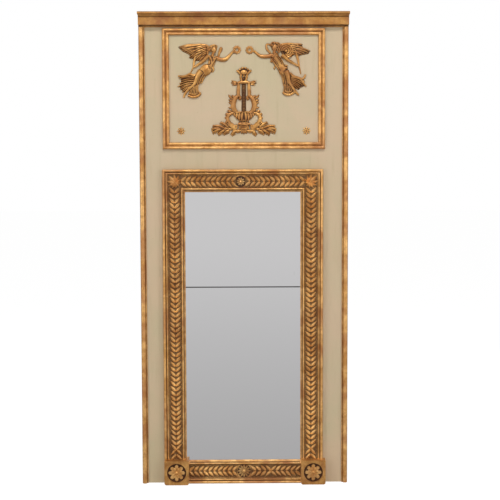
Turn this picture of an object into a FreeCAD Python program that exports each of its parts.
import FreeCAD, Part
import math
import os
import Sketcher

# Trumeau mirror: a painted frame-and-panel carcass that carries a gilt cornice, a bordered
# upper panel with carved ornament, and a laurel frame with two mirror plates.
# Millimetres. +X to the right, +Y to the wall, +Z up. The origin is the middle of the lower
# edge of the plane that lies against the wall, so the whole object is at y <= 0, z >= 0.

SIZES = {
    # whole object
    "full_height": 1750,
    "full_width": 770,
    # carcass: stiles, rails and panels
    "board_thickness": 24,
    "stile_width": 100,
    "rail_bottom_height": 95,
    "rail_lower_bottom": 560,
    "rail_lower_height": 72,
    "rail_middle_drop": 645,
    "rail_middle_height": 165,
    "rail_top_height": 70,
    "tenon_thickness": 9,
    "tenon_length": 55,
    "tenon_shoulder": 14,
    "tenon_play": 0.2,
    "groove_setback": 6,
    "tongue_thickness": 8,
    "tongue_depth": 9,
    "tongue_play": 0.5,
    "panel_thickness": 14,
    "peg_width": 8,
    "peg_depth": 18,
    "peg_inset": 20,
    # battens on the back
    "batten_thickness": 14,
    "batten_height": 62,
    "batten_inset": 20,
    "batten_drop": 19,
    "batten_chamfer": 5,
    "nail_edge": 12,
    "nail_head": 7,
    "nail_head_thickness": 1.5,
    "nail_shank": 3.4,
    "nail_length": 32,
    # cornice
    "cap_height": 10,
    "cap_projection": 33,
    "cap_overhang": 2,
    "cornice_height": 44,
    "frieze_projection": 22,
    "frieze_drop": 9,
    "frieze_height": 29,
    "cove_reach": 5,
    # half-round strips down both sides
    "strip_width": 22,
    "strip_projection": 14,
    "strip_fillet": 4,
    # moulding round the upper panel
    "border_side": 86,
    "border_drop": 58,
    "border_height": 440.5,
    "border_member": 25,
    "border_projection": 13,
    "border_groove": 4,
    # laurel frame
    "laurel_side": 88.25,
    "laurel_shift": -5,
    "laurel_drop": 573,
    "laurel_member": 83.5,
    "laurel_rail_height": 87,
    "bead_width": 9.5,
    "bead_foot": 17,
    "bead_rise": 3.6,
    "listel_gap": 3,
    "listel_width": 5,
    "listel_foot": 14.5,
    "listel_rise": 1.6,
    "channel_gap": 3.2,
    "channel_floor": 10,
    "fillet_width": 6.5,
    "fillet_foot": 13,
    "fillet_rise": 2,
    "sight_slope": 8.5,
    "sight_lip": 3.6,
    "glass_thickness": 4,
    "glass_lap": 9,
    "glass_play": 0.6,
    "plate_seam": 740.5,
    "seam_gap": 0.4,
    # laurel garland in the channel
    "garland_base": 2,
    "garland_play": 1,
    "leaf_pitch": 18.6,
    "leaf_length": 25,
    "leaf_width": 9.6,
    "leaf_rise": 5.5,
    "leaf_root": 3,
    "leaf_angle": 44,
    "garland_turn": 38,
    "bottom_garland_turn": 97,
    # corner blocks and rosettes
    "block_width": 91,
    "block_height": 91,
    "block_projection": 38,
    "block_chamfer": 5,
    "block_set_in": 82.5,
    "block_recess": 72,
    "recess_depth": 7,
    "block_rosette": 66,
    "block_rosette_rise": 9,
    "rail_rosette_top": 31,
    "rail_rosette_bottom": 50,
    "rail_rosette_rise": 6,
    "top_rosette_shift": -12,
    "bottom_rosette_shift": -3,
    "field_rosette": 32,
    "field_rosette_rise": 6,
    "field_rosette_set_in": 136,
    "field_rosette_foot": 66.5,
    # carved group on the upper panel
    "figure_offset": 140,
    "figure_drop": 210,
    "figure_reach": 240,
    "figure_relief": 12,
    "lyre_drop": 320,
    "lyre_height": 250,
    "lyre_relief": 11,
    "spray_relief": 9,
    # strap hangers with swinging rings
    "hanger_drop": 165,
    "strap_width": 18,
    "strap_length": 30,
    "strap_thickness": 1.5,
    "strap_clip": 5,
    "ring_wire": 3.6,
    "ring_play": 0.08,
    "ring_inner": 25,
    "ring_leg": 36,
    "ring_bend": 5,
    "hanger_screw_head": 6.5,
    "hanger_screw_shank": 3.4,
    "hanger_screw_length": 14,
    "screw_head_rise": 1.6,
}

# Sizes that follow from the ones above, as formulas of the same names.
DERIVED = {
    "half_width": "full_width / 2",
    "board_back": "-batten_thickness",
    "paint_face": "-(batten_thickness + board_thickness)",
    "opening_half": "half_width - stile_width",
    "carcass_top": "full_height - cap_height",
    "rail_top_bottom": "carcass_top - rail_top_height",
    "rail_middle_bottom": "full_height - rail_middle_drop",
    "rail_middle_top": "rail_middle_bottom + rail_middle_height",
    "rail_lower_top": "rail_lower_bottom + rail_lower_height",
    "tongue_front": "paint_face + groove_setback",
    "tenon_front": "paint_face + (board_thickness - tenon_thickness) / 2",
    "cornice_bottom": "carcass_top - cornice_height",
    "border_width": "full_width - 2 * border_side",
    "border_bottom": "full_height - border_drop - border_height",
    "laurel_width": "full_width - 2 * laurel_side",
    "laurel_top": "full_height - laurel_drop",
    "laurel_left": "laurel_shift - laurel_width / 2",
    "laurel_right": "laurel_shift + laurel_width / 2",
    "sight_half": "laurel_width / 2 - laurel_member",
    "sight_top": "laurel_top - laurel_member",
    "glass_half": "sight_half + glass_lap - glass_play",
    "glass_front": "paint_face - glass_thickness",
    "channel_start": "bead_width + listel_gap + listel_width + channel_gap",
    "channel_end": "sight_slope + fillet_width",
    "channel_width": "laurel_member - channel_start - channel_end",
    "rail_channel": "laurel_rail_height - channel_start - channel_end",
    "garland_floor": "paint_face - channel_floor",
    "block_spread": "laurel_width - block_set_in",
    "field_rosette_spread": "border_width - field_rosette_set_in",
    "field_rosette_level": "border_bottom + field_rosette_foot",
    "figure_level": "full_height - figure_drop",
    "lyre_level": "full_height - lyre_drop",
    "hanger_spread": "full_width - stile_width",
    "hanger_level": "full_height - hanger_drop",
    "ring_radius": "ring_wire / 2",
    "knuckle_bore": "ring_wire / 2 + ring_play",
    "knuckle_outer": "ring_wire / 2 + ring_play + strap_thickness",
    "ring_axis_y": "board_back + knuckle_outer",
    "strap_back": "board_back + strap_thickness",
}

doc = FreeCAD.newDocument("trumeau_mirror")
sheet = doc.addObject("Spreadsheet::Sheet", "Sizes")
for row, (alias, number) in enumerate(SIZES.items(), start=1):
    sheet.set(f"A{row}", alias)
    sheet.set(f"B{row}", str(number))
    sheet.setAlias(f"B{row}", alias)
doc.recompute()

PARTS = []
SIGNS = "()+-*/^,"


def formula(text, prefix=""):
    """Writes a formula out in the sheet's own names, with the sheet named for other objects."""
    text = str(text)
    for sign in SIGNS:
        text = text.replace(sign, f" {sign} ")
    words = text.split()
    for index, word in enumerate(words):
        if word in DERIVED:
            words[index] = "(" + formula(DERIVED[word], prefix) + ")"
        elif word in SIZES:
            words[index] = prefix + word
    return " ".join(words)


def size(text):
    """The present value of a formula, in millimetres or degrees."""
    return float(sheet.evalExpression(formula(text)))


def bind(thing, prop, text):
    thing.setExpression(prop, formula(text, "Sizes."))


def place(thing, corner):
    for axis, text in zip("xyz", corner):
        bind(thing, f"Placement.Base.{axis}", text)


def keep(thing, label):
    """Makes a finished object one of the sub-parts, under its own name."""
    thing.Label = label
    PARTS.append(thing)
    return thing


# ---------------------------------------------------------------- solids from primitives


def box(name, length, width, height, corner):
    block = doc.addObject("Part::Box", name)
    bind(block, "Length", length)
    bind(block, "Width", width)
    bind(block, "Height", height)
    place(block, corner)
    return block


def fuse(name, things):
    whole = doc.addObject("Part::MultiFuse", name)
    whole.Shapes = things
    return whole


def cut(name, base, tools):
    tool = tools[0] if len(tools) == 1 else fuse(name + "_tools", tools)
    rest = doc.addObject("Part::Cut", name)
    rest.Base = base
    rest.Tool = tool
    return rest


def prism(name, sides, across, height, centre, direction):
    """A regular prism such as a hand-cut peg, lying along +Y or standing along +Z."""
    peg = doc.addObject("Part::Prism", name)
    peg.Polygon = sides
    bind(peg, "Circumradius", across)
    bind(peg, "Height", height)
    if direction == "y":
        peg.Placement.Rotation = FreeCAD.Rotation(FreeCAD.Vector(1, 0, 0), -90)
    place(peg, centre)
    return peg


def hidden(label, shape):
    """A shape worked out from the sheet's sizes, for use as a tool."""
    feature = doc.addObject("Part::Feature", label)
    feature.Shape = shape
    return feature


def written(label, shape):
    """A sub-part whose shape is worked out from the sheet's sizes."""
    return keep(hidden(label, shape), label)


# ---------------------------------------------------------------- bodies from sketches


def plane_of(body, role):
    return [item for item in body.Origin.OriginFeatures if item.Role == role][0]


def outline(body, name, role, points, offset=None):
    """A closed sketch. Each point is (across, up) or (across, up, rise): the rise is that of
    the arc from this point to the next, positive where it bulges to the left of the way there.
    An arc in a sketch runs anticlockwise, so one that bulges to the left is drawn backwards."""
    sketch = body.newObject("Sketcher::SketchObject", name)
    sketch.AttachmentSupport = [(plane_of(body, role), "")]
    sketch.MapMode = "FlatFace"
    if offset:
        bind(sketch, "AttachmentOffset.Base.z", offset)
    spots = [FreeCAD.Vector(size(p[0]), size(p[1]), 0) for p in points]
    starts, ends = [], []
    for index, point in enumerate(points):
        after = (index + 1) % len(points)
        here, there = spots[index], spots[after]
        if len(point) < 3:
            edge = sketch.addGeometry(Part.LineSegment(here, there), False)
            starts.append((edge, 1))
            ends.append((edge, 2))
            continue
        rise = size(point[2])
        chord = there - here
        left = FreeCAD.Vector(-chord.y, chord.x, 0).normalize()
        crown = (here + there) * 0.5 + left * rise
        clockwise = rise > 0
        first, last = (there, here) if clockwise else (here, there)
        edge = sketch.addGeometry(Part.Arc(first, crown, last), False)
        starts.append((edge, 2 if clockwise else 1))
        ends.append((edge, 1 if clockwise else 2))
        dx = f"(({points[after][0]}) - ({point[0]}))"
        dy = f"(({points[after][1]}) - ({point[1]}))"
        high = f"({point[2]})" if rise > 0 else f"(-({point[2]}))"
        radius = f"({dx} ^ 2 + {dy} ^ 2) / (8 * {high}) + {high} / 2"
        index_radius = sketch.addConstraint(Sketcher.Constraint("Radius", edge, size(radius)))
        bind(sketch, f"Constraints[{index_radius}]", radius)
    for index, point in enumerate(points):
        edge, end = starts[index]
        last, last_end = ends[index - 1]
        sketch.addConstraint(Sketcher.Constraint("Coincident", last, last_end, edge, end))
        for kind, text in (("DistanceX", point[0]), ("DistanceY", point[1])):
            number = sketch.addConstraint(Sketcher.Constraint(kind, -1, 1, edge, end, size(text)))
            bind(sketch, f"Constraints[{number}]", text)
    return sketch


def pad(body, sketch, length):
    feature = body.newObject("PartDesign::Pad", sketch.Name + "_pad")
    feature.Profile = sketch
    bind(feature, "Length", length)
    return feature


def pocket_through(body, sketch):
    feature = body.newObject("PartDesign::Pocket", sketch.Name + "_pocket")
    feature.Profile = sketch
    feature.Type = "ThroughAll"
    feature.Midplane = True
    return feature


def extruded(label, role, points, length, corner, cuts=()):
    """A body padded from one profile, with corners cut off right through its depth."""
    body = doc.addObject("PartDesign::Body", label)
    pad(body, outline(body, label + "_profile", role, points), length)
    for index, shape in enumerate(cuts):
        pocket_through(body, outline(body, f"{label}_cut_{index}", "XZ_Plane", shape))
    place(body, corner)
    return keep(body, label)


# ---------------------------------------------------------------- nails, screws and battens


BATTENS = {
    "back_batten_bottom": "0",
    "back_batten_top": "carcass_top - batten_height - batten_drop",
}


def facets(corners, faces):
    """A closed solid from flat faces, each a list of corner numbers."""
    sides = []
    for face in faces:
        ring = [corners[i] for i in face] + [corners[face[0]]]
        sides.append(Part.Face(Part.makePolygon(ring)))
    solid = Part.Solid(Part.Shell(sides))
    if solid.Volume < 0:
        solid.reverse()
    return solid


def stacked(x, z, levels, sides):
    """A solid of regular sections one behind another along Y, each level a (y, radius) pair."""
    corners = []
    for y, radius in levels:
        for i in range(sides):
            turn = 2 * math.pi * (i + 0.5) / sides
            corners.append(FreeCAD.Vector(x + radius * math.cos(turn), y,
                                          z + radius * math.sin(turn)))
    last = sides * (len(levels) - 1)
    faces = [list(range(sides)), list(range(last, last + sides))]
    for low in range(0, last, sides):
        for i in range(sides):
            j = (i + 1) % sides
            faces.append([low + i, low + j, low + sides + j, low + sides + i])
    return facets(corners, faces)


def square_cut_nail(x, z):
    """A forged nail driven in flush from the back: a square head on a square tapering shank."""
    diagonal = math.sqrt(0.5)
    head, neck = size("nail_head") * diagonal, size("nail_shank") * diagonal
    under = -size("nail_head_thickness")
    levels = [(0, head), (under, head), (under, neck), (-size("nail_length"), neck * 0.4)]
    return stacked(x, z, levels, 4)


def nails(side):
    """Two nails, one above the other, through each batten's end on one side."""
    x = side * size("half_width - batten_inset - nail_edge")
    spread = size("batten_height") / 4
    made = []
    for bottom in BATTENS.values():
        middle = size(f"({bottom}) + batten_height / 2")
        made += [square_cut_nail(x, middle - spread), square_cut_nail(x, middle + spread)]
    return Part.makeCompound(made)


def hanger_screw_spots(side):
    x = side * size("hanger_spread / 2")
    level = size("hanger_level")
    return [(x, level - size("strap_length") * share) for share in (0.42, 0.78)]


def screw_shanks(side):
    """The shanks of the screws in one strap hanger, from the strap's face into the stile."""
    seat = size("strap_back")
    shank = size("hanger_screw_shank") / 2
    levels = [(seat, shank), (seat - size("hanger_screw_length"), shank * 0.6)]
    return Part.makeCompound([stacked(x, z, levels, 8) for x, z in hanger_screw_spots(side)])


def hanger_screws():
    """Low domed heads on the straps, each on its shank."""
    seat = size("strap_back")
    head, shank = size("hanger_screw_head") / 2, size("hanger_screw_shank") / 2
    rise = size("screw_head_rise")
    levels = [(seat + rise, head * 0.5), (seat + rise * 0.6, head * 0.86), (seat, head),
              (seat, shank), (seat - size("hanger_screw_length"), shank * 0.6)]
    spots = hanger_screw_spots(-1) + hanger_screw_spots(1)
    return written("hanger_screws",
                   Part.makeCompound([stacked(x, z, levels, 8) for x, z in spots]))


def back_batten(label, bottom):
    """A flat batten across the back. Its long outer edges are chamfered, except one that ends
    level with the foot of the object."""
    foot = [("0", "0")] if bottom == "0" else [("-batten_chamfer", "0"), ("0", "batten_chamfer")]
    points = [("-batten_thickness", "0")] + foot + [
        ("0", "batten_height - batten_chamfer"),
        ("-batten_chamfer", "batten_height"),
        ("-batten_thickness", "batten_height"),
    ]
    body = doc.addObject("PartDesign::Body", label + "_board")
    profile = outline(body, label + "_profile", "YZ_Plane", points)
    pad(body, profile, "full_width - 2 * batten_inset")
    place(body, ("batten_inset - half_width", "0", bottom))
    holes = [hidden(f"{label}_nail_holes_{side}", nails(side)) for side in (-1, 1)]
    return keep(cut(label, body, holes), label)


for node, level_text in BATTENS.items():
    back_batten(node, level_text)
written("back_batten_nails", Part.makeCompound(nails(-1).Solids + nails(1).Solids))
hanger_screws()


# ---------------------------------------------------------------- carcass


def tenon_box(name, side, bottom, height, play):
    """A rail's tenon, or with play the mortise for it, in the left (-1) or right (1) stile."""
    reach = f"(tenon_length + {play} * tenon_play)"
    corner_x = "opening_half" if side > 0 else f"-opening_half - {reach}"
    return box(
        name,
        reach,
        f"tenon_thickness + 2 * {play} * tenon_play",
        f"({height}) - 2 * tenon_shoulder + 2 * {play} * tenon_play",
        (
            corner_x,
            f"tenon_front - {play} * tenon_play",
            f"({bottom}) + tenon_shoulder - {play} * tenon_play",
        ),
    )


RAILS = {
    "carcass_rail_bottom": ("0", "rail_bottom_height"),
    "carcass_rail_lower": ("rail_lower_bottom", "rail_lower_height"),
    "carcass_rail_middle": ("rail_middle_bottom", "rail_middle_height"),
    "carcass_rail_top": ("rail_top_bottom", "rail_top_height"),
}
PANELS = {
    "mirror_backing_lower": ("rail_bottom_height", "rail_lower_bottom"),
    "mirror_backing_upper": ("rail_lower_top", "rail_middle_bottom"),
    "upper_panel": ("rail_middle_top", "rail_top_bottom"),
}


def peg_spots(side):
    """One peg through each narrow tenon, two through the wide one."""
    for label, (bottom, height) in RAILS.items():
        for share in (0.28, 0.72) if label == "carcass_rail_middle" else (0.5,):
            spot_x = f"{side} * (opening_half + peg_inset)"
            yield label, spot_x, f"({bottom}) + ({height}) * {share}"


def peg(name, spot_x, level):
    return prism(
        name, 6, "peg_width / 2", "peg_depth", (spot_x, "board_back - peg_depth", level), "y"
    )


def panel_groove(name, low, high, side=0):
    """The groove that a panel's tongue runs in, cut along one stile or along a rail."""
    deep = "(tongue_depth + tongue_play)"
    if side:
        start = "opening_half" if side > 0 else f"-opening_half - {deep}"
        return box(
            name, deep, "tongue_thickness", f"({high}) - ({low}) + 2 * {deep}",
            (start, "tongue_front", f"({low}) - {deep}"),
        )
    return box(
        name, f"2 * opening_half + 2 * {deep}", "tongue_thickness", f"({high}) - ({low})",
        (f"-opening_half - {deep}", "tongue_front", low),
    )


def carcass_stile(label, side):
    start = "opening_half" if side > 0 else "-half_width"
    plank = box(
        label + "_plank", "stile_width", "board_thickness", "carcass_top",
        (start, "paint_face", "0"),
    )
    tools = []
    for rail, (bottom, height) in RAILS.items():
        tools.append(tenon_box(f"{label}_mortise_{rail}", side, bottom, height, 1))
    for panel, (low, high) in PANELS.items():
        tools.append(panel_groove(f"{label}_groove_{panel}", low, high, side))
    for index, (_, spot_x, level) in enumerate(peg_spots(side)):
        tools.append(peg(f"{label}_peg_hole_{index}", spot_x, level))
    tools.append(hidden(label + "_nail_holes", nails(side)))
    tools.append(hidden(label + "_screw_holes", screw_shanks(side)))
    return keep(cut(label, plank, tools), label)


def carcass_rail(label, bottom, height):
    plank = box(
        label + "_plank", "2 * opening_half", "board_thickness", height,
        ("-opening_half", "paint_face", bottom),
    )
    tenons = [tenon_box(f"{label}_tenon_{side}", side, bottom, height, 0) for side in (-1, 1)]
    deep = "(tongue_depth + tongue_play)"
    tools = []
    for panel, (low, high) in PANELS.items():
        if size(f"({high}) - ({bottom})") == 0:
            tools.append(panel_groove(f"{label}_over_{panel}", high, f"({high}) + {deep}"))
        if size(f"({low}) - ({bottom}) - ({height})") == 0:
            tools.append(panel_groove(f"{label}_under_{panel}", f"({low}) - {deep}", low))
    for side in (-1, 1):
        for index, (rail, spot_x, level) in enumerate(peg_spots(side)):
            if rail == label:
                tools.append(peg(f"{label}_peg_hole_{side}_{index}", spot_x, level))
    return keep(cut(label, fuse(label + "_blank", [plank] + tenons), tools), label)


def carcass_panel(label, low, high):
    """A panel flush with the painted face, rebated at the front and back to its tongue."""
    field = box(
        label + "_field", "2 * opening_half", "panel_thickness", f"({high}) - ({low})",
        ("-opening_half", "paint_face", low),
    )
    tongue = box(
        label + "_tongue", "2 * opening_half + 2 * tongue_depth", "tongue_thickness",
        f"({high}) - ({low}) + 2 * tongue_depth",
        ("-opening_half - tongue_depth", "tongue_front", f"({low}) - tongue_depth"),
    )
    return keep(fuse(label, [field, tongue]), label)


def frame_pegs():
    pegs = []
    for side in (-1, 1):
        for index, (_, spot_x, level) in enumerate(peg_spots(side)):
            pegs.append(peg(f"frame_peg_{side}_{index}", spot_x, level))
    group = doc.addObject("Part::Compound", "frame_pegs")
    group.Links = pegs
    return keep(group, "frame_pegs")


for node, (low_edge, high_edge) in PANELS.items():
    carcass_panel(node, low_edge, high_edge)
for node, (low_edge, tall) in RAILS.items():
    carcass_rail(node, low_edge, tall)
carcass_stile("carcass_stile_left", -1)
carcass_stile("carcass_stile_right", 1)
frame_pegs()


# ---------------------------------------------------------------- cornice and strips


def cornice():
    """Frieze board and cove in one run of moulding, under a thin cap with a rounded nose."""
    moulding = [
        ("0", "0"),
        ("-(frieze_projection - 8)", "0", "-2"),
        ("-(frieze_projection - 3)", "frieze_drop * 0.6"),
        ("-frieze_projection", "frieze_drop * 0.6"),
        ("-frieze_projection", "frieze_drop * 0.6 + frieze_height"),
        ("-(frieze_projection - 3)", "frieze_drop * 0.6 + frieze_height", "cove_reach / 2"),
        ("-(frieze_projection + cove_reach)", "cornice_height"),
        ("0", "cornice_height"),
    ]
    extruded(
        "cornice_moulding", "YZ_Plane", moulding, "full_width",
        ("-half_width", "paint_face", "cornice_bottom"),
    )
    cap = [
        ("0", "0"),
        ("-(board_thickness + cap_projection)", "0", "-(cap_height * 0.3)"),
        ("-(board_thickness + cap_projection)", "cap_height * 0.72"),
        ("-(board_thickness + cap_projection - 3)", "cap_height"),
        ("0", "cap_height"),
    ]
    extruded(
        "cornice_cap", "YZ_Plane", cap, "full_width + 2 * cap_overhang",
        ("-half_width - cap_overhang", "board_back", "carcass_top"),
    )


def side_strip(label, side):
    """A half-round strip with a small quirk along its inner side."""
    turn = "" if side < 0 else "-"
    rise = "-" if side < 0 else ""
    round_width = "(strip_width - strip_fillet)"
    points = [
        ("0", "0"),
        ("0", "-(strip_projection * 0.35)", f"{rise}({round_width} * 0.4)"),
        (f"{turn}{round_width}", "-(strip_projection * 0.35)"),
        (f"{turn}strip_width", "-(strip_projection * 0.35)"),
        (f"{turn}strip_width", "0"),
    ]
    return extruded(
        label, "XY_Plane", points, "cornice_bottom",
        (f"{side} * half_width", "paint_face", "0"),
    )


cornice()
side_strip("side_strip_left", -1)
side_strip("side_strip_right", 1)


# ---------------------------------------------------------------- mitred mouldings


def turned(profile, way):
    """Lays a profile of (across, proud) points out for one member of a frame."""
    flip = {"left": -1, "right": 1, "top": -1, "bottom": 1}[way]
    points = []
    for point in profile:
        across, proud = point[0], point[1]
        rise = () if len(point) < 3 else (point[2] if flip > 0 else f"-({point[2]})",)
        if way == "left":
            points.append((across, f"-({proud})") + rise)
        elif way == "right":
            points.append((f"-({across})", f"-({proud})") + rise)
        elif way == "top":
            points.append((f"-({proud})", f"-({across})") + rise)
        else:
            points.append((f"-({proud})", across) + rise)
    return points


def border_profile():
    """Two round ridges with a hollow between them."""
    ridge = "((border_member - border_groove) / 2)"
    foot = "(border_projection * 0.55)"
    return [
        ("0", "0"),
        ("0", foot, "border_projection * 0.42"),
        (ridge, foot, "-(border_projection * 0.1)"),
        (f"{ridge} + border_groove", foot, "border_projection * 0.3"),
        ("border_member", f"{foot} * 0.8"),
        ("border_member", "0"),
    ]


def mitre(x, z, right, up, member, upright):
    """The triangle that cuts one end of a member to 45 degrees. (x, z) is the outer corner of
    the frame, which lies to the right (1) or left (-1) of it and above (1) or below (-1)."""
    outer = (f"({x}) - ({right})", f"({z}) - ({up})")
    inner = (f"({x}) + ({right}) * ({member} + 1)", f"({z}) + ({up}) * ({member} + 1)")
    return [outer, inner, (inner[0], outer[1]) if upright else (outer[0], inner[1])]


def panel_border():
    profile = border_profile()
    wide, tall, member = "border_width", "border_height", "border_member"
    for label, way, side in (
        ("panel_moulding_left", "left", -1),
        ("panel_moulding_right", "right", 1),
    ):
        cuts = [mitre("0", "0", -side, 1, member, True), mitre("0", tall, -side, -1, member, True)]
        extruded(label, "XY_Plane", turned(profile, way), tall,
                 (f"{side} * border_width / 2", "paint_face", "border_bottom"), cuts)
    for label, way, up, level in (
        ("panel_moulding_bottom", "bottom", 1, "border_bottom"),
        ("panel_moulding_top", "top", -1, "border_bottom + border_height"),
    ):
        cuts = [mitre("0", "0", 1, up, member, False), mitre(wide, "0", -1, up, member, False)]
        extruded(label, "YZ_Plane", turned(profile, way), wide,
                 ("-border_width / 2", "paint_face", level), cuts)


def laurel_profile(member):
    """Outer bead, listel, flat channel for the garland, inner fillet, and a slope down to the
    sight edge, with a rebate behind it for the glass."""
    listel = "bead_width + listel_gap"
    quirk = "listel_foot - 2.5"
    return [
        ("0", "0"),
        ("0", "bead_foot", "bead_rise"),
        ("bead_width", "bead_foot"),
        ("bead_width", quirk),
        (listel, quirk),
        (listel, "listel_foot", "listel_rise"),
        (f"{listel} + listel_width", "listel_foot"),
        (f"{listel} + listel_width", "channel_floor"),
        (f"({member}) - channel_end", "channel_floor"),
        (f"({member}) - channel_end", "fillet_foot", "fillet_rise"),
        (f"({member}) - sight_slope", "fillet_foot"),
        (member, "glass_thickness + sight_lip"),
        (member, "glass_thickness"),
        (f"({member}) - glass_lap", "glass_thickness"),
        (f"({member}) - glass_lap", "0"),
    ]


def laurel_frame():
    member, wide = "laurel_member", "laurel_width"
    profile = laurel_profile(member)
    tall = "(laurel_top - block_height)"
    for label, way, right, start in (
        ("laurel_stile_left", "left", 1, "laurel_left"),
        ("laurel_stile_right", "right", -1, "laurel_right"),
    ):
        extruded(label, "XY_Plane", turned(profile, way), tall,
                 (start, "paint_face", "block_height"),
                 [mitre("0", tall, right, -1, member, True)])
    cuts = [mitre("0", "0", 1, -1, member, False), mitre(wide, "0", -1, -1, member, False)]
    extruded("laurel_rail_top", "YZ_Plane", turned(profile, "top"), wide,
             ("laurel_left", "paint_face", "laurel_top"), cuts)
    extruded("laurel_rail_bottom", "YZ_Plane",
             turned(laurel_profile("laurel_rail_height"), "bottom"),
             "block_spread - block_width",
             ("-(block_spread - block_width) / 2", "paint_face", "0"))


panel_border()
laurel_frame()


# ---------------------------------------------------------------- glass


def mirror_plate(label, low, high):
    return keep(
        box(label, "2 * glass_half", "glass_thickness", f"({high}) - ({low})",
            ("laurel_shift - glass_half", "glass_front", low)),
        label,
    )


mirror_plate("mirror_plate_lower", "laurel_rail_height - glass_lap + glass_play",
             "plate_seam - seam_gap / 2")
mirror_plate("mirror_plate_upper", "plate_seam + seam_gap / 2",
             "sight_top + glass_lap - glass_play")


# ---------------------------------------------------------------- carved relief


def vector(x, z, proud=0.0, ground=None):
    """A point of the relief: x and z on the face, proud of the ground it is carved from."""
    base = size("paint_face") if ground is None else ground
    return FreeCAD.Vector(x, base - proud, z)


def polar(x, z, heading, reach):
    """The spot at this reach from (x, z), the heading counted from +X towards +Z."""
    turn = math.radians(heading)
    return x + reach * math.cos(turn), z + reach * math.sin(turn)


def leaf(x, z, heading, length, width, rise, ground, belly=0.42):
    """A pointed leaf with a raised midrib: four facets over a kite that lies on the ground."""
    middle = polar(x, z, heading, length * belly)
    spots = [
        (x, z),
        polar(*middle, heading - 90, width / 2),
        polar(x, z, heading, length),
        polar(*middle, heading + 90, width / 2),
    ]
    corners = [vector(*spot, 0, ground) for spot in spots] + [vector(*middle, rise, ground)]
    return facets(corners, [[0, 1, 2, 3], [0, 1, 4], [1, 2, 4], [2, 3, 4], [3, 0, 4]])


def mound(spots, rise, share, ground=None):
    """A low plateau: an outline on the ground and the same outline, smaller, on top."""
    count = len(spots)
    middle_x = sum(spot[0] for spot in spots) / count
    middle_z = sum(spot[1] for spot in spots) / count
    low = [vector(x, z, 0, ground) for x, z in spots]
    high = [
        vector(middle_x + (x - middle_x) * share, middle_z + (z - middle_z) * share, rise, ground)
        for x, z in spots
    ]
    faces = [list(range(count)), list(range(count, 2 * count))]
    for i in range(count):
        j = (i + 1) % count
        faces.append([i, j, count + j, count + i])
    return facets(low + high, faces)


def disc(x, z, sides, radius, rise, share, ground=None):
    """A mound on a regular outline, such as a boss or a head."""
    spots = [polar(x, z, 360 * (i + 0.5) / sides, radius) for i in range(sides)]
    return mound(spots, rise, share, ground)


def limb(start, end, first, last, ground=None):
    """A tapering half-round bar between two spots, cut with five faces."""
    heading = math.degrees(math.atan2(end[1] - start[1], end[0] - start[0]))
    corners = []
    for (x, z), width in ((start, first), (end, last)):
        for across, rise in ((-0.5, 0), (-0.27, 0.42), (0.27, 0.42), (0.5, 0)):
            spot = polar(x, z, heading + 90, across * width)
            corners.append(vector(*spot, rise * width, ground))
    faces = [[0, 1, 2, 3], [4, 5, 6, 7]]
    for i in range(4):
        j = (i + 1) % 4
        faces.append([i, j, 4 + j, 4 + i])
    return facets(corners, faces)


def bow(x, z, radius, width, first_turn, last_turn, steps, ground=None):
    """A curved half-round bar about (x, z) between two headings, in straight facets."""
    base = size("paint_face") if ground is None else ground
    corners = []
    for step in range(steps + 1):
        turn = first_turn + (last_turn - first_turn) * step / steps
        for across, rise in ((-0.5, 0), (-0.27, 0.42), (0.27, 0.42), (0.5, 0)):
            spot = polar(x, z, turn, radius + across * width)
            corners.append(vector(*spot, rise * width, base))
    last = 4 * steps
    faces = [[0, 1, 2, 3], [last, last + 1, last + 2, last + 3]]
    for low in range(0, last, 4):
        for i in range(4):
            j = (i + 1) % 4
            faces.append([low + i, low + j, low + 4 + j, low + 4 + i])
    return facets(corners, faces)


def joined(solids):
    return solids[0].multiFuse(solids[1:]).removeSplitter()


# ---------------------------------------------------------------- laurel garland


def garland(label, start, end, centre, upright, way, turn=None):
    """A strip of laurel leaves in pairs along a stem, from start to end of its channel.
    way is 1 where the tips point to the end, or -1 where they point back to the start, and
    the leaves rooted before the turn point the other way."""
    play = size("garland_play")
    ground = size("garland_floor")
    width = size("channel_width") - 2 * play
    base = size("garland_base")
    long = end - start
    if upright:
        plate = Part.makeBox(width, base, long, vector(centre - width / 2, start, base, ground))
    else:
        plate = Part.makeBox(long, base, width, vector(start, centre - width / 2, base, ground))
    count = max(1, round(long / size("leaf_pitch")))
    gap = long / count
    leaves = []
    for index in range(count):
        middle = start + gap * (index + 0.5)
        forward = -way if turn is not None and middle < turn else way
        stem = (90 if upright else 0) + (0 if forward > 0 else 180)
        root = middle - forward * gap * 0.4
        x, z = (centre, root) if upright else (root, centre)
        for side in (-1, 1):
            root_x, root_z = polar(x, z, stem + 90 * side, size("leaf_root") / 2)
            leaves.append(leaf(root_x, root_z, stem + side * size("leaf_angle"),
                               size("leaf_length"), size("leaf_width"), size("leaf_rise"),
                               ground - base))
    kept = Part.makeBox(width, size("leaf_rise") * 2, long,
                        vector(centre - width / 2, start, size("leaf_rise") * 2, ground - base))
    if not upright:
        kept = Part.makeBox(long, size("leaf_rise") * 2, width,
                            vector(start, centre - width / 2, size("leaf_rise") * 2,
                                   ground - base))
    trimmed = [item if inside(item, kept) else item.common(kept) for item in leaves]
    return written(label, plate.multiFuse([item for item in trimmed if item.Volume > 0]))


def inside(item, space):
    """Whether an item's box lies inside another's in x and z."""
    a, b = item.BoundBox, space.BoundBox
    return a.XMin >= b.XMin and a.XMax <= b.XMax and a.ZMin >= b.ZMin and a.ZMax <= b.ZMax


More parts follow.
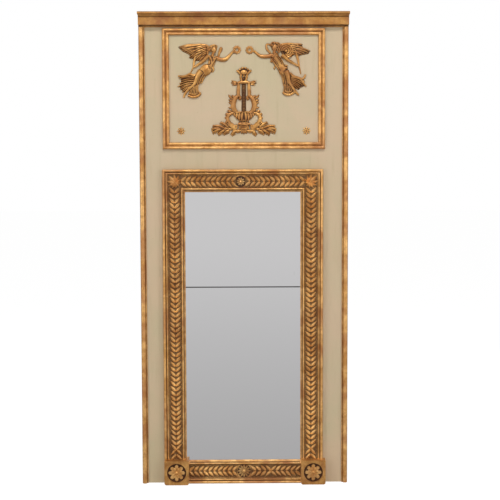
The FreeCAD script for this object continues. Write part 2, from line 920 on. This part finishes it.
def garland_runs():
    """Up both stiles, inwards along the top rail, and to the right along the bottom rail."""
    play = size("garland_play")
    stem = size("channel_start + channel_width / 2")
    member = size("laurel_member")
    top = size("laurel_top")
    corner = size("channel_end")
    for label, centre in (
        ("laurel_garland_left", size("laurel_left") + stem),
        ("laurel_garland_right", size("laurel_right") - stem),
    ):
        foot = size("block_height") + play
        garland(label, foot, top - member + corner, centre, True, 1,
                foot + size("garland_turn"))
    level = top - stem
    rosette_x = size("top_rosette_shift")
    reach = size("rail_rosette_top") / 2 + play
    garland("laurel_garland_top_left", size("laurel_left") + member - corner,
            rosette_x - reach, level, False, 1)
    garland("laurel_garland_top_right", rosette_x + reach,
            size("laurel_right") - member + corner, level, False, -1)
    level = size("channel_start + rail_channel / 2")
    rosette_x = size("bottom_rosette_shift")
    reach = size("rail_rosette_bottom") / 2 + play
    edge = size("(block_spread - block_width) / 2") - play
    garland("laurel_garland_bottom_left", -edge, rosette_x - reach, level, False, 1)
    garland("laurel_garland_bottom_right", rosette_x + reach, edge, level, False, 1,
            size("bottom_garland_turn"))


# ---------------------------------------------------------------- rosettes and blocks


def flower(x, z, petals, radius, rise, ground):
    """A round flower: pointed petals with a raised rib each, meeting in a domed boss."""
    brim, valley, hub = rise * 0.3, radius * 0.72, rise * 0.45
    corners = [vector(x, z, hub, ground)]
    rim, floor, ribs = [], [], []
    for index in range(petals):
        turn = 360 * index / petals
        for reach, heading in ((valley, turn), (radius, turn + 180 / petals)):
            spot = polar(x, z, heading, reach)
            rim.append(len(corners))
            corners.append(vector(*spot, brim, ground))
            floor.append(len(corners))
            corners.append(vector(*spot, 0, ground))
        ribs.append(len(corners))
        corners.append(vector(*polar(x, z, turn + 180 / petals, radius * 0.6), rise, ground))
    faces = [floor]
    for i in range(2 * petals):
        j = (i + 1) % (2 * petals)
        faces.append([floor[i], floor[j], rim[j], rim[i]])
        faces.append([rim[i], rim[j], ribs[i // 2]])
    for index in range(petals):
        valley_here, valley_next = rim[2 * index], rim[(2 * index + 2) % (2 * petals)]
        faces.append([0, valley_here, ribs[index]])
        faces.append([0, ribs[index], valley_next])
    boss = disc(x, z, 10, radius * 0.3, rise * 1.1, 0.55, ground)
    return facets(corners, faces).fuse(boss)


def rosettes():
    channel = size("garland_floor")
    rise = size("rail_rosette_rise")
    upper = size("laurel_top - channel_start - channel_width / 2")
    lower = size("channel_start + rail_channel / 2")
    low_width = min(size("rail_rosette_bottom"), size("rail_channel"))
    written("rail_rosette_top", flower(size("top_rosette_shift"), upper, 9,
                                       size("rail_rosette_top") / 2, rise, channel))
    written("rail_rosette_bottom", flower(size("bottom_rosette_shift"), lower, 14,
                                          low_width / 2, rise, channel))
    recess = size("paint_face - block_projection + recess_depth")
    block_radius = min(size("block_rosette"), size("block_recess")) / 2
    for place_name, side in (("left", -1), ("right", 1)):
        written(f"field_rosette_{place_name}",
                flower(side * size("field_rosette_spread") / 2, size("field_rosette_level"), 8,
                       size("field_rosette") / 2, size("field_rosette_rise"),
                       size("paint_face")))
        written(f"block_rosette_{place_name}",
                flower(side * size("block_spread") / 2, size("block_height / 2"), 8,
                       block_radius, size("block_rosette_rise"), recess))


def corner_block(label, side):
    """A square block with its lower corners chamfered and a round recess in its face. Behind, it
    is cut away for the corner of the glass."""
    body = doc.addObject("PartDesign::Body", label + "_blank")
    half = "block_width / 2"
    face = [
        (f"-{half}", "block_chamfer"),
        (f"-{half} + block_chamfer", "0"),
        (f"{half} - block_chamfer", "0"),
        (half, "block_chamfer"),
        (half, "block_height"),
        (f"-{half}", "block_height"),
    ]
    pad(body, outline(body, label + "_face", "XZ_Plane", face), "block_projection")
    ring = body.newObject("Sketcher::SketchObject", label + "_recess")
    ring.AttachmentSupport = [(plane_of(body, "XZ_Plane"), "")]
    ring.MapMode = "FlatFace"
    bind(ring, "AttachmentOffset.Base.z", "block_projection")
    middle = FreeCAD.Vector(0, size("block_height / 2"), 0)
    ring.addGeometry(Part.Circle(middle, FreeCAD.Vector(0, 0, 1), size("block_recess / 2")), False)
    radius = ring.addConstraint(Sketcher.Constraint("Radius", 0, size("block_recess / 2")))
    bind(ring, f"Constraints[{radius}]", "block_recess / 2")
    level = ring.addConstraint(Sketcher.Constraint("DistanceY", -1, 1, 0, 3, middle.y))
    bind(ring, f"Constraints[{level}]", "block_height / 2")
    ring.addConstraint(Sketcher.Constraint("DistanceX", -1, 1, 0, 3, 0.0))
    doc.recompute()
    recess = body.newObject("PartDesign::Pocket", label + "_recess_cut")
    recess.Profile = ring
    bind(recess, "Length", "recess_depth")
    place(body, (f"{side} * block_spread / 2", "paint_face", "0"))
    glass = box(
        label + "_glass_space", "2 * glass_half + 2 * glass_play", "glass_thickness",
        "block_height",
        ("laurel_shift - glass_half - glass_play", "glass_front", "laurel_rail_height - glass_lap"),
    )
    return keep(cut(label, body, [glass]), label)


garland_runs()
corner_block("corner_block_left", -1)
corner_block("corner_block_right", 1)
rosettes()


# ---------------------------------------------------------------- figures and lyre


def winged_figure(label, side):
    """A flying draped figure, head up and feet trailing, with a wreath held forward and a palm
    in the other hand. Spots are measured from its waist, inwards and upwards, and all
    lengths but the relief in 240ths of its reach from the wing's tip to the wreath."""
    waist_x, waist_z = size("figure_offset"), size("figure_level")
    relief = size("figure_relief")
    unit = size("figure_reach") / 240
    full = relief / 0.42

    def at(inward, up):
        return side * (waist_x - inward * unit), waist_z + up * unit

    def blade(inward, up, heading, length, width, rise):
        x, z = at(inward, up)
        return leaf(x, z, heading if side < 0 else 180 - heading, length * unit, width * unit,
                    rise, size("paint_face"))

    solids = [
        limb(at(22, 54), at(16, 12), full * 1.0, full * 0.8),
        limb(at(16, 16), at(-6, -16), full * 0.85, full * 1.1),
        limb(at(-6, -10), at(-36, -54), full * 1.05, full * 0.6),
        limb(at(-34, -48), at(-80, -96), full * 0.55, full * 0.26),
        limb(at(36, 42), at(72, 38), full * 0.48, full * 0.4),
        limb(at(70, 34), at(105, 71), full * 0.44, full * 0.3),
        limb(at(12, 52), at(-38, 16), full * 0.48, full * 0.3),
        limb(at(20, 50), at(29, 72), full * 0.4, full * 0.34),
        disc(*at(29, 74), 12, full * 0.44, relief * 0.95, 0.55),
        disc(*at(18, 82), 8, full * 0.24, relief * 0.6, 0.5),
        disc(*at(115, 73), 12, full * 0.56, relief * 0.5, 0.8).cut(
            disc(*at(115, 73), 12, full * 0.26, relief, 0.9)),
    ]
    for step in range(8):
        solids.append(blade(12 - step * 3, 44 + step * 5, 222 - step * 8, 50 + step * 6.6, 16,
                            relief * 0.55))
    for step in range(3):
        solids.append(blade(34 + step * 4, 44, 82 - step * 10, 40 - step * 4, 12, relief * 0.4))
    for step in range(5):
        solids.append(blade(2 - step * 6, -14 - step * 2, 262 - step * 9, 78 - step * 4, 24,
                            relief * 0.6))
    for step in range(4):
        solids.append(blade(-24 - step * 4, -20 - step * 8, 176 + step * 14, 76 - step * 6, 20,
                            relief * 0.4))
    for step in range(3):
        solids.append(blade(-30 - step * 4, 20 - step * 4, 246 + step * 6, 44, 9, relief * 0.3))
    return written(label, joined(solids))


def lyre_unit():
    """The lyre's spots and lengths count in 250ths of its height."""
    return size("lyre_height") / 250


def lyre_spot(across, up):
    """A spot of the lyre, from its middle line and its middle level."""
    return across * lyre_unit(), size("lyre_level") + up * lyre_unit()


def lyre_leaf(side, across, up, heading, length, width, rise):
    """A leaf on the right (1) or the left (-1) half of the lyre."""
    x, z = lyre_spot(side * across, up)
    return leaf(x, z, heading if side > 0 else 180 - heading, length * lyre_unit(),
                width * lyre_unit(), rise, size("paint_face"))


def lyre_frame():
    """Two straight arms that swell out round the sound body and meet in a leafy cup."""
    relief = size("lyre_relief")
    bar = relief / 0.42
    cup = [(-22, -38), (22, -38), (17, -66), (10, -78), (-10, -78), (-17, -66)]
    solids = [
        mound([lyre_spot(*spot) for spot in cup], relief, 0.7),
        limb(lyre_spot(0, -74), lyre_spot(0, -104), bar * 0.8, bar * 1.1),
        limb(lyre_spot(-24, 66), lyre_spot(24, 66), bar * 0.42, bar * 0.42),
    ]
    for side in (-1, 1):
        solids += [
            limb(lyre_spot(side * 18, 76), lyre_spot(side * 20, 20), bar * 0.34, bar * 0.42),
            limb(lyre_spot(side * 6, -92), lyre_spot(side * 30, -122), bar * 0.44, bar * 0.3),
            disc(*lyre_spot(side * 24, 22), 10, bar * 0.32, relief * 0.9, 0.5),
        ]
        for up, heading, long in ((70, 24, 34), (62, -14, 30), (34, 50, 30), (2, -8, 26)):
            root = 19 if up > 20 else 34
            solids.append(lyre_leaf(side, root, up, heading, long, 13, relief * 0.5))
        for spread in (18, 42, 66):
            solids.append(lyre_leaf(side, 6, -66, 90 - spread, 52 - spread * 0.2, 15,
                                    relief * 0.9))
    for first_turn, last_turn in ((-66, 58), (122, 246)):
        solids.append(bow(*lyre_spot(0, -8), 34 * lyre_unit(), bar * 0.44, first_turn,
                          last_turn, 7))
    return written("lyre_frame", joined(solids))


def lyre_strings(frame):
    """Three flat strings between the crossbar and the cup."""
    rise = size("lyre_relief") * 0.35
    wide, spacing, tall = (share * lyre_unit() for share in (3, 7, 102))
    low = lyre_spot(0, -38)[1]
    strings = [
        Part.makeBox(wide, rise, tall, vector(x - wide / 2, low, rise))
        for x in (-spacing, 0, spacing)
    ]
    loose = [string.cut(frame) for string in strings]
    return written("lyre_strings", Part.makeCompound([s for s in loose if s.Volume > 0]))


def lyre_finial(frame):
    """A palmette of seven blades on a tapering neck above the crossbar."""
    relief = size("lyre_relief")
    bar = relief / 0.42
    solids = [limb(lyre_spot(0, 68), lyre_spot(0, 102), bar * 0.8, bar * 1.1)]
    for step in range(-3, 4):
        solids.append(lyre_leaf(1, step * 2.5, 94, 90 - step * 17, 32 - abs(step) * 1.5, 10,
                                relief * 0.7))
    return written("lyre_finial", joined(solids).cut(frame))


def acanthus_spray(label, side):
    """Leaves that spread from the foot of the lyre to one side, along a curved stem."""
    relief = size("spray_relief")
    bar = size("lyre_relief") / 0.42
    stem = [lyre_spot(side * across, up) for across, up in ((42, -118), (66, -106), (98, -112))]
    solids = [limb(a, b, bar * 0.5, bar * 0.4) for a, b in zip(stem, stem[1:])]
    blades = ((46, -114, 78, 42), (54, -110, 52, 46), (66, -106, 34, 44), (80, -106, 14, 42),
              (90, -110, -14, 34), (76, -108, -34, 30), (56, -112, -30, 32))
    for across, up, heading, long in blades:
        solids.append(lyre_leaf(side, across, up, heading, long, 15, relief * 0.8))
    return written(label, joined(solids))


winged_figure("winged_figure_left", -1)
winged_figure("winged_figure_right", 1)
lyre = lyre_frame().Shape
lyre_strings(lyre)
lyre_finial(lyre)
acanthus_spray("acanthus_spray_left", -1)
acanthus_spray("acanthus_spray_right", 1)


# ---------------------------------------------------------------- strap hangers and rings


def strap_hanger(label, side):
    """A steel strap folded into a knuckle round the ring's bar and screwed to the stile."""
    x = side * size("hanger_spread / 2")
    level, foot = size("hanger_level"), size("hanger_level - strap_length")
    wide, thick = size("strap_width"), size("strap_thickness")
    back = size("board_back")
    start = FreeCAD.Vector(x - wide / 2, size("ring_axis_y"), level)
    along = FreeCAD.Vector(1, 0, 0)
    clip = size("strap_clip")
    outside = [(-wide / 2, level), (-wide / 2, foot + clip), (clip - wide / 2, foot),
               (wide / 2 - clip, foot), (wide / 2, foot + clip), (wide / 2, level)]
    ring = [FreeCAD.Vector(x + across, back, z) for across, z in outside]
    plate = Part.Face(Part.makePolygon(ring + ring[:1])).extrude(FreeCAD.Vector(0, thick, 0))
    knuckle = Part.makeCylinder(size("knuckle_outer"), wide, start, along)
    hole = Part.makeCylinder(size("knuckle_bore"), wide, start, along)
    strap = plate.fuse(knuckle).cut(hole).cut(screw_shanks(side))
    return written(label, strap.removeSplitter())


def arc_spots(x, z, radius, first_turn, last_turn, steps):
    turns = [first_turn + (last_turn - first_turn) * i / steps for i in range(steps + 1)]
    return [polar(x, z, turn, radius) for turn in turns]


def closed_wire(path, axis_y, radius, sides):
    """A closed loop of wire along spots (x, z), in straight lengths that meet in mitres."""
    corners = []
    for index, here in enumerate(path):
        before, after = path[index - 1], path[(index + 1) % len(path)]
        coming = math.atan2(here[1] - before[1], here[0] - before[0])
        going = math.atan2(after[1] - here[1], after[0] - here[0])
        turn = (going - coming + math.pi) % (2 * math.pi) - math.pi
        across = math.degrees(coming + turn / 2) + 90
        for step in range(sides):
            angle = 2 * math.pi * (step + 0.5) / sides
            x, z = polar(*here, across, radius * math.cos(angle) / math.cos(turn / 2))
            corners.append(FreeCAD.Vector(x, axis_y + radius * math.sin(angle), z))
    faces = []
    for low in range(0, len(corners), sides):
        high = (low + sides) % len(corners)
        for i in range(sides):
            j = (i + 1) % sides
            faces.append([low + i, low + j, high + j, high + i])
    return facets(corners, faces)


def hanging_ring(label, side):
    """A wire ring, straight at its bar and round at its foot, free to swing in the knuckle."""
    x, level = side * size("hanger_spread / 2"), size("hanger_level")
    half = size("(ring_inner + ring_wire) / 2")
    bend = size("ring_bend")
    path = arc_spots(x + half - bend, level - bend, bend, 90, 0, 4)
    path += arc_spots(x, level - size("ring_leg"), half, 0, -180, 14)
    path += arc_spots(x - half + bend, level - bend, bend, 180, 90, 4)
    return written(label, closed_wire(path, size("ring_axis_y"), size("ring_radius"), 12))


for place_name, hand in (("left", -1), ("right", 1)):
    strap_hanger(f"strap_hanger_{place_name}", hand)
    hanging_ring(f"hanging_ring_{place_name}", hand)


# ---------------------------------------------------------------- check and write

doc.recompute()
for item in doc.Objects:
    if "Invalid" in item.State or "Error" in item.State:
        raise RuntimeError(f"{item.Name} failed: {item.State}")
for item in PARTS:
    if item.Shape.isNull() or not item.Shape.isValid() or item.Shape.Volume <= 0:
        raise RuntimeError(f"{item.Label} has no valid shape")

os.makedirs("parts", exist_ok=True)
for item in PARTS:
    item.Shape.exportStep(f"parts/{item.Label}.step")
print(len(PARTS), "sub-parts written")
